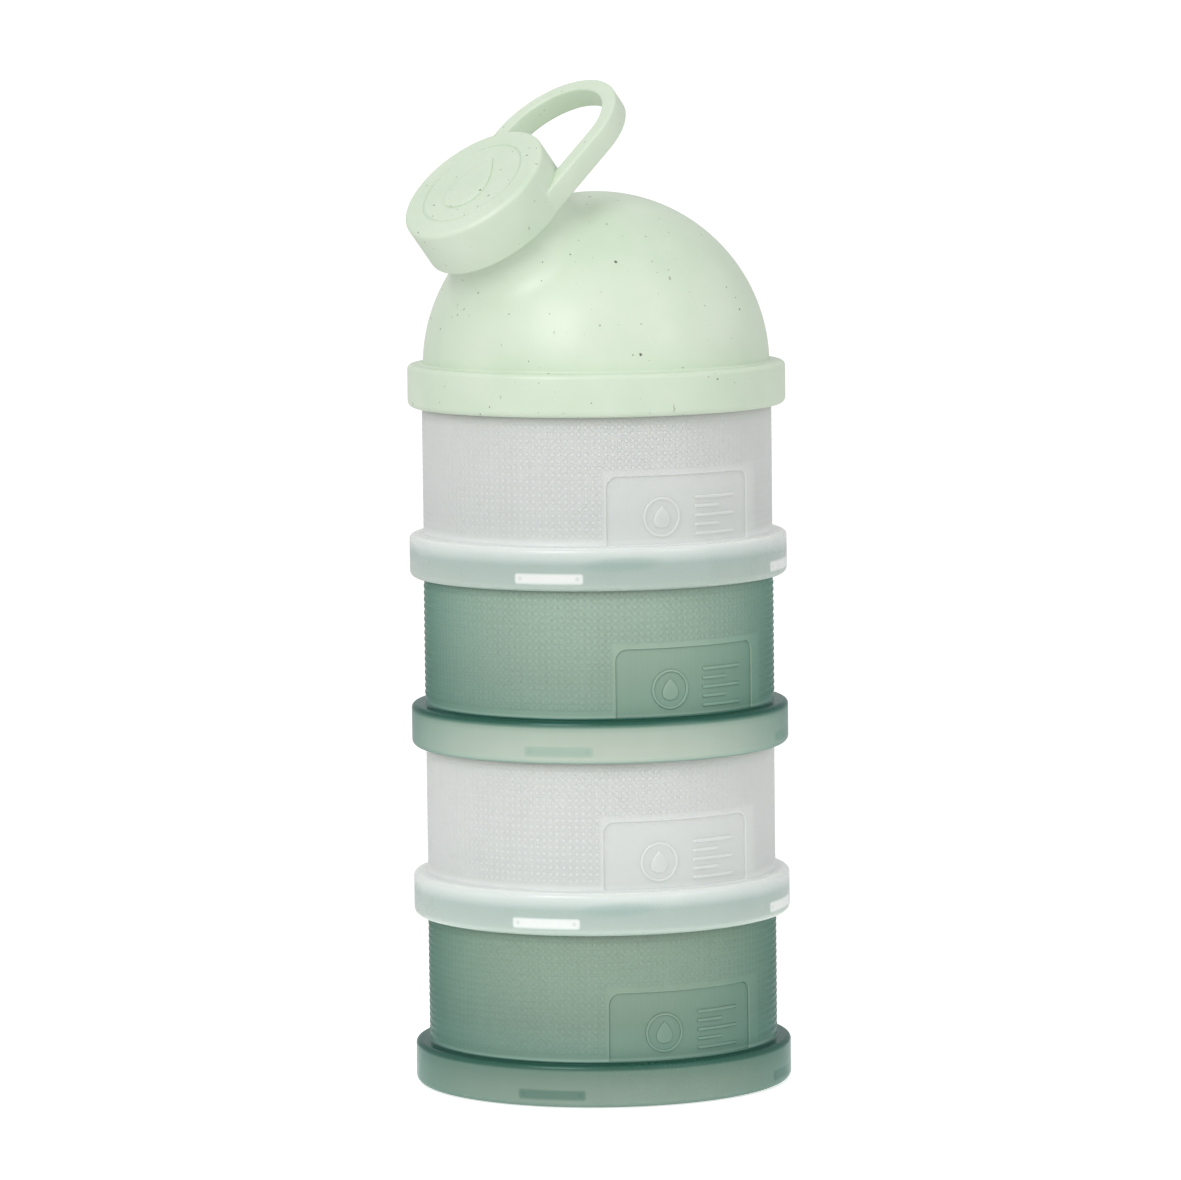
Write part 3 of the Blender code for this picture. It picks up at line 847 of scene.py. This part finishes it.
silicone = clearSilicone("clear_silicone", stackAxis)
for name in ("container_1_seal", "container_2_seal", "container_3_seal", "container_4_seal",
             "lid_seal"):
    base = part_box(name)[0].z - sealSizes["bottom"]
    body = "base" if name == "container_4_seal" else name
    ringSeal = mouldedPiece(f"{name}_ring", ringSealShape(),
                            Matrix.Translation(stackAxis + Vector((0, 0, base))),
                            silicone, body)
    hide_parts(name)
capSeal = mouldedPiece("cap_seal_disc", capSealShape(), spoutPlace, silicone, "cap_seal")
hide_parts("cap_seal")
print("seals done")


lidSizes = {
    "domeRadius": 36.7 * mm, "wall": 1.9 * mm, "sunk": 0.35 * mm, "collarRadius": 14 * mm,
    "flareRadius": 9 * mm, "collarTop": 40.8 * mm, "spoutRadius": 13.1 * mm,
    "spoutRim": 48.7 * mm, "bore": 11.6 * mm, "rimRounding": 0.45 * mm, "segments": 256,
    "capSeat": 41.1 * mm, "ribFromFoot": 0.6 * mm, "ribHeight": 1.1 * mm, "ribPlay": 0.5 * mm,
    "ribReach": 1.1 * mm, "ribSpan": 200, "ribLead": 6.4 * mm, "ribStarts": 2,
}


def domeShape():
    # Dome and flared spout are one turned shell about the spout's axis, cut at the ring.
    lid = lidSizes
    outer, inner = lid["domeRadius"], lid["domeRadius"] - lid["wall"]
    flareX = lid["collarRadius"] + lid["flareRadius"]
    flareZ = math.sqrt((outer + lid["flareRadius"]) ** 2 - flareX ** 2)
    flareEnd = math.degrees(math.atan2(flareZ, flareX))
    rim = lid["rimRounding"]
    profile = arc(0, 0, outer, -90, flareEnd, 64)
    profile[0] = (0, -outer)
    profile += arc(flareX, flareZ, lid["flareRadius"], flareEnd + 180, 180, 14)[1:]
    profile += arc(lid["collarRadius"] - 0.3 * mm, lid["collarTop"] - 0.3 * mm, 0.3 * mm, 0, 90, 3)
    profile += [(lid["spoutRadius"] + 0.2 * mm, lid["collarTop"]),
                (lid["spoutRadius"], lid["collarTop"] + 0.2 * mm)]
    profile += arc(lid["spoutRadius"] - rim, lid["spoutRim"] - rim, rim, 0, 90, 4)
    profile += arc(lid["bore"] + rim, lid["spoutRim"] - rim, rim, 90, 180, 4)
    boreEnd = math.degrees(math.acos(lid["bore"] / inner))
    profile += arc(0, 0, inner, boreEnd, -90, 48)
    profile[-1] = (0, -inner)
    shape = bmesh.new()
    turned(shape, profile, lid["segments"])
    climb = lid["ribLead"] / 360
    foot = lid["capSeat"] + lid["ribFromFoot"] + lid["ribHeight"] + lid["ribPlay"]
    shape.transform(spoutPlace)
    cutLevel = lidBase + ringSizes["height"] - lid["sunk"]
    geometry = shape.verts[:] + shape.edges[:] + shape.faces[:]
    bmesh.ops.bisect_plane(shape, geom=geometry, dist=0.000001, plane_co=(0, 0, cutLevel),
                           plane_no=(0, 0, 1), clear_inner=True)
    rimEdges = [edge for edge in shape.edges if edge.is_boundary]
    bmesh.ops.bridge_loops(shape, edges=rimEdges)
    ribs = bmesh.new()
    for start in range(lid["ribStarts"]):
        bentBar(ribs, lid["spoutRadius"] - 0.6 * mm, lid["spoutRadius"] + lid["ribReach"], foot,
                lid["ribHeight"], 360 / lid["ribStarts"] * start, lid["ribSpan"],
                climb * lid["ribSpan"])
    ribs.transform(spoutPlace)
    return combined(outward(shape), outward(ribs), "UNION")


def lidRingShape():
    # The lid's own skirt ring, closed under the dome's wall.
    ring = ringSizes
    profile = ringProfile()
    profile += [(ring["plugInner"], ring["floorUnder"]),
                (ring["plugInner"] + 0.3 * mm, ring["height"] - 0.2 * mm),
                (containerSizes["bodyRadius"] - 1.6 * mm, ring["height"])]
    shape, lugs = bmesh.new(), bmesh.new()
    turned(shape, profile, 240)
    addLugs(lugs)
    shape = combined(outward(shape), outward(lugs), "UNION")
    shape.transform(Matrix.Translation(stackAxis + Vector((0, 0, lidBase))))
    return shape


speckLook = {
    "dark": (206, 223, 200), "light": (218, 231, 211), "roughness": 0.36,
    "specks": [
        {"spacing": 4.6 * mm, "radius": 0.42 * mm, "share": 0.45, "strength": 0.95,
         "colour": (84, 84, 66)},
        {"spacing": 2.1 * mm, "radius": 0.24 * mm, "share": 0.4, "strength": 0.85,
         "colour": (104, 102, 80)},
        {"spacing": 1.5 * mm, "radius": 0.15 * mm, "share": 0.3, "strength": 0.35,
         "colour": (140, 146, 116)},
        {"spacing": 2.6 * mm, "radius": 0.2 * mm, "share": 0.3, "strength": 0.6,
         "colour": (128, 128, 98), "turn": (0.7, 0.3, 0.0)},
        {"spacing": 2.9 * mm, "radius": 0.2 * mm, "share": 0.3, "strength": 0.6,
         "colour": (138, 136, 106), "turn": (1.5, 1.1, 0.6)},
    ],
}
speckled = speckledPlastic("speckled_green", speckLook, domeCentre)
lidMoulding = combined(domeShape(), lidRingShape(), "UNION")
lid = mouldedPiece("lid_dome", lidMoulding, Matrix.Identity(4), speckled, "lid")
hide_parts("lid")
print("lid", len(lid.data.polygons), "faces")


capSizes = {
    "seat": 41.1 * mm, "top": 51.9 * mm, "ceiling": 50.3 * mm, "radius": 16.5 * mm,
    "inner": 14.9 * mm, "rounding": 1 * mm, "footRounding": 0.5 * mm, "discRadius": 11.7 * mm,
    "groove": 0.5 * mm, "loopLength": 22.6 * mm, "loopHeight": 5 * mm, "loopLift": 0.15 * mm,
    "loopOuter": 16.2 * mm, "loopThickness": 3.5 * mm, "loopSlimmer": 0.3 * mm,
    "loopRounding": 0.5 * mm, "ribReach": 1.3 * mm, "dropWidth": 10.5 * mm,
    "dropHeight": 15 * mm, "raised": 0.5 * mm, "segments": 192,
}


def addLoop(shape):
    # Flat strap bent to a long U. Its ends follow the cap's round wall.
    cap = capSizes
    wallMiddle = (cap["radius"] + cap["inner"]) / 2
    centreRadius = cap["loopOuter"] - cap["loopThickness"] / 2
    path = [(1, share / 12, 0.0) for share in range(12)]
    path += [(0, 0, 180 * share / 48) for share in range(49)]
    path += [(-1, 1 - share / 12, 180.0) for share in range(1, 13)]
    loops = []
    for side, share, angle in path:
        slim = cap["loopSlimmer"] * (1 if side == 0 else share) * math.sin(math.radians(angle))
        section = roundedSection(cap["loopThickness"] - slim, cap["loopHeight"],
                                 cap["loopRounding"], 4)
        turn = math.radians(angle)
        loop = []
        for x, z in section:
            radius = centreRadius + slim / 2 + x
            height = cap["seat"] + cap["loopLift"] + cap["loopHeight"] / 2 + z
            if side:
                start = math.sqrt(max(0, wallMiddle ** 2 - radius ** 2))
                y = start + (cap["loopLength"] - start) * share
                loop.append((side * radius, y, height))
            else:
                loop.append((radius * math.cos(turn), cap["loopLength"] + radius * math.sin(turn),
                             height))
        loops.append(loop)
    loft(shape, loops, False)


def onCapTop(across, up, out):
    return Vector((across, up, capSizes["top"] + out))


def capShape():
    cap = capSizes
    top, groove = cap["top"], cap["groove"]
    profile = [(0, top), (cap["discRadius"] - groove * 0.6, top)]
    profile += arc(cap["discRadius"], top, groove / 2, 180, 360, 6)
    profile += arc(cap["radius"] - cap["rounding"], top - cap["rounding"], cap["rounding"], 90, 0, 7)
    profile += arc(cap["radius"] - cap["footRounding"], cap["seat"] + cap["footRounding"],
                   cap["footRounding"], 0, -90, 4)
    profile += [(cap["inner"] + 0.2 * mm, cap["seat"]), (cap["inner"], cap["seat"] + 0.2 * mm),
                (cap["inner"], cap["ceiling"] - 0.4 * mm),
                (cap["inner"] - 0.4 * mm, cap["ceiling"]), (0, cap["ceiling"])]
    shape = bmesh.new()
    turned(shape, profile, cap["segments"])
    raised = bmesh.new()
    addLoop(raised)
    lid = lidSizes
    climb = lid["ribLead"] / 360
    for start in range(lid["ribStarts"]):
        bentBar(raised, cap["inner"] - cap["ribReach"], cap["inner"] + 0.6 * mm,
                cap["seat"] + lid["ribFromFoot"], lid["ribHeight"],
                360 / lid["ribStarts"] * start, lid["ribSpan"], climb * lid["ribSpan"])
    drop = dropPath(0, 0, cap["dropWidth"], cap["dropHeight"], 64)
    reliefPad(raised, drop, (0, 0), cap["raised"], onCapTop)
    return combined(outward(shape), outward(raised), "UNION")


cap = mouldedPiece("cap_and_loop", capShape(), spoutPlace, speckled, "cap")
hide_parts("cap")
print("cap", len(cap.data.polygons), "faces")


studio = {
    "cameraTurn": 49.03, "cameraDistance": 1479.2 * mm, "cameraHeight": 251.9 * mm,
    "lookDown": 5.692, "aside": 0.067, "roll": 0.652, "lens": 213.4, "floorRadius": 0.2,
    "skyStrength": 0.66, "backdropStrength": 1.1,
}
# Turns count from the camera's.
softboxes = {
    "key_softbox": {"turn": -30, "elevation": 30, "distance": 1.5, "width": 0.7, "height": 0.8,
                    "watts": 8.6},
    "fill_softbox": {"turn": 50, "elevation": 20, "distance": 1.6, "width": 0.7, "height": 1.2,
                     "watts": 4},
    "back_softbox": {"turn": 190, "elevation": 35, "distance": 1.7, "width": 1.2, "height": 0.8,
                     "watts": 0.9},
}


def softbox(name, box):
    # Area light on a circle round the dispenser, facing its middle.
    light = bpy.data.lights.new(name, "AREA")
    light.shape = "RECTANGLE"
    light.size = box["width"]
    light.size_y = box["height"]
    light.energy = box["watts"]
    item = bpy.data.objects.new(name, light)
    middle = stackAxis + Vector((0, 0, 0.1))
    rise = math.radians(box["elevation"])
    turn = studio["cameraTurn"] + box["turn"]
    spot = around(box["distance"] * math.cos(rise), turn, box["distance"] * math.sin(rise))
    item.location = middle + spot
    item.rotation_euler = (middle - item.location).to_track_quat("-Z", "Y").to_euler()
    bpy.context.scene.collection.objects.link(item)


def paleFloor():
    shape = bmesh.new()
    bmesh.ops.create_circle(shape, cap_ends=True, segments=96, radius=studio["floorRadius"])
    bmesh.ops.translate(shape, verts=shape.verts[:], vec=(0, 0, -0.2 * mm))
    item = newObject("studio_floor", shape)
    finish = Finish("pale_floor")
    point = finish.objectPoint()
    haze = finish.noise(point, 6, 3.0)
    colour = finish.ramp(haze, [(0.3, (0.93, 0.93, 0.93, 1)), (0.7, (0.95, 0.95, 0.95, 1))])
    away = finish.node("ShaderNodeVectorMath", {"operation": "LENGTH"}, {0: point}, "Value")
    fade = finish.smooth(away, studio["floorRadius"] * 0.95, studio["floorRadius"] * 0.25)
    item.data.materials.append(finish.close({
        "Base Color": colour, "Roughness": 0.8, "Alpha": fade, "Emission Color": (1, 1, 1, 1),
        "Emission Strength": 0.55}))


def studioSky():
    # Even white surroundings; the backdrop itself is seen brighter than it lights.
    world = bpy.data.worlds.new("studio")
    bpy.context.scene.world = world
    world.use_nodes = True
    nodes, links = world.node_tree.nodes, world.node_tree.links
    background = nodes["Background"]
    background.inputs["Color"].default_value = (1, 1, 1, 1)
    path = nodes.new("ShaderNodeLightPath")
    seen = nodes.new("ShaderNodeMapRange")
    seen.inputs["To Min"].default_value = studio["skyStrength"]
    seen.inputs["To Max"].default_value = studio["backdropStrength"]
    links.new(path.outputs["Is Camera Ray"], seen.inputs["Value"])
    links.new(seen.outputs["Result"], background.inputs["Strength"])


def studioCamera():
    turn = studio["cameraTurn"]
    camera = bpy.data.cameras.new("camera")
    camera.lens = studio["lens"]
    camera.sensor_width = 36
    item = bpy.data.objects.new("camera", camera)
    spot = stackAxis + around(studio["cameraDistance"], turn, studio["cameraHeight"])
    item.matrix_world = (Matrix.Translation(spot)
                         @ Matrix.Rotation(math.radians(turn + studio["aside"]), 4, "Z")
                         @ Matrix.Rotation(math.radians(90 - studio["lookDown"]), 4, "X")
                         @ Matrix.Rotation(math.radians(-studio["roll"]), 4, "Z"))
    bpy.context.scene.collection.objects.link(item)
    bpy.context.scene.camera = item


studioCamera()
studioSky()
paleFloor()
for name, box in softboxes.items():
    softbox(name, box)
bpy.context.scene.view_settings.view_transform = "Standard"
print("studio done")
